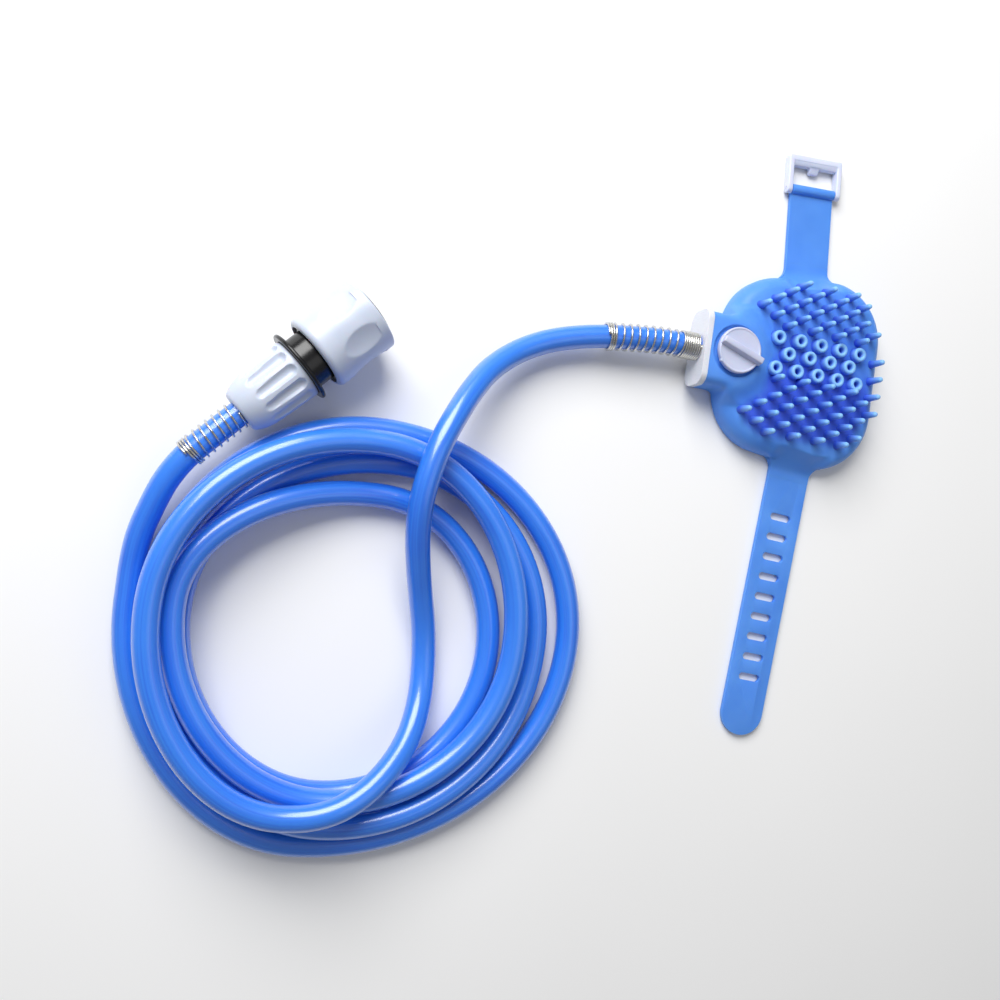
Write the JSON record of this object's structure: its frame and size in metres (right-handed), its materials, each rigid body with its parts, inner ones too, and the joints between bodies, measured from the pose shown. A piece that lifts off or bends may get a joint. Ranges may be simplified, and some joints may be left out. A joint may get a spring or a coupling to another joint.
{
  "type": "handheld bath sprayer",
  "caption": "Palm-worn scrubbing pad that sprays water through rings between soft nubs, with a turn valve, wrist straps, coiled hose and push-on tap connector.",
  "frame": {"origin": "middle of the pad's flat palm face, on the surface that the sprayer lies on", "axes": "+X away from the hose inlet, +Y towards the buckle, +Z towards the bristles"},
  "size_m": [0.3455, 0.3645, 0.0365],
  "materials": {
    "silicone": "soft moulded silicone, satin",
    "hose": "smooth glossy PVC hose",
    "pale_plastic": "moulded, glossy",
    "knob_plastic": "moulded, half gloss",
    "buckle_plastic": "moulded, glossy",
    "connector_plastic": "moulded, half gloss",
    "gripper_plastic": "moulded",
    "black_plastic": "moulded, glossy",
    "seal": "smooth rubber",
    "spring_steel": "drawn bright wire"
  },
  "bodies": {
    "sprayer": {"glove_shell": "silicone", "long_strap": "silicone", "short_strap": "silicone", "palm_panel": "silicone", "inlet_plate": "pale_plastic", "spigot_oring": "seal", "valve_housing": "pale_plastic", "sprayer_spring": "spring_steel", "hose_lead": "hose", "hose_coil": "hose", "hose_tail": "hose", "tail_spring": "spring_steel", "connector_core": "black_plastic", "hose_collet": "pale_plastic", "clamp_nut": "connector_plastic", "nose_ring": "black_plastic", "gripper_ring": "gripper_plastic", "release_spring": "spring_steel"},
    "valve": {"knob": "knob_plastic", "valve_plug": "pale_plastic", "plug_oring": "seal", "plug_clip": "spring_steel"},
    "buckle": {"buckle_frame": "buckle_plastic", "buckle_pin": "spring_steel"},
    "sleeve": {"release_sleeve": "connector_plastic"}
  },
  "joints": [
    {"name": "knob_turn", "type": "hinge", "parent": "sprayer", "child": "valve", "pos_m": [-0.0402, 0, 0.02], "axis": [0, 0, 1], "range_deg": [-75, 15]},
    {"name": "buckle_swing", "type": "hinge", "parent": "sprayer", "child": "buckle", "pos_m": [-0.00152, 0.09227, 0.0024], "axis": [0.9973, 0.0732, 0], "range_deg": [-140, 150]},
    {"name": "sleeve_slide", "type": "slide", "parent": "sprayer", "child": "sleeve", "axis": [-0.6683, -0.7438, 0], "range_m": [0, 0.004], "stiffness_N_per_m": 800, "springref_m": -0.005, "deforming": ["release_spring"]}
  ]
}
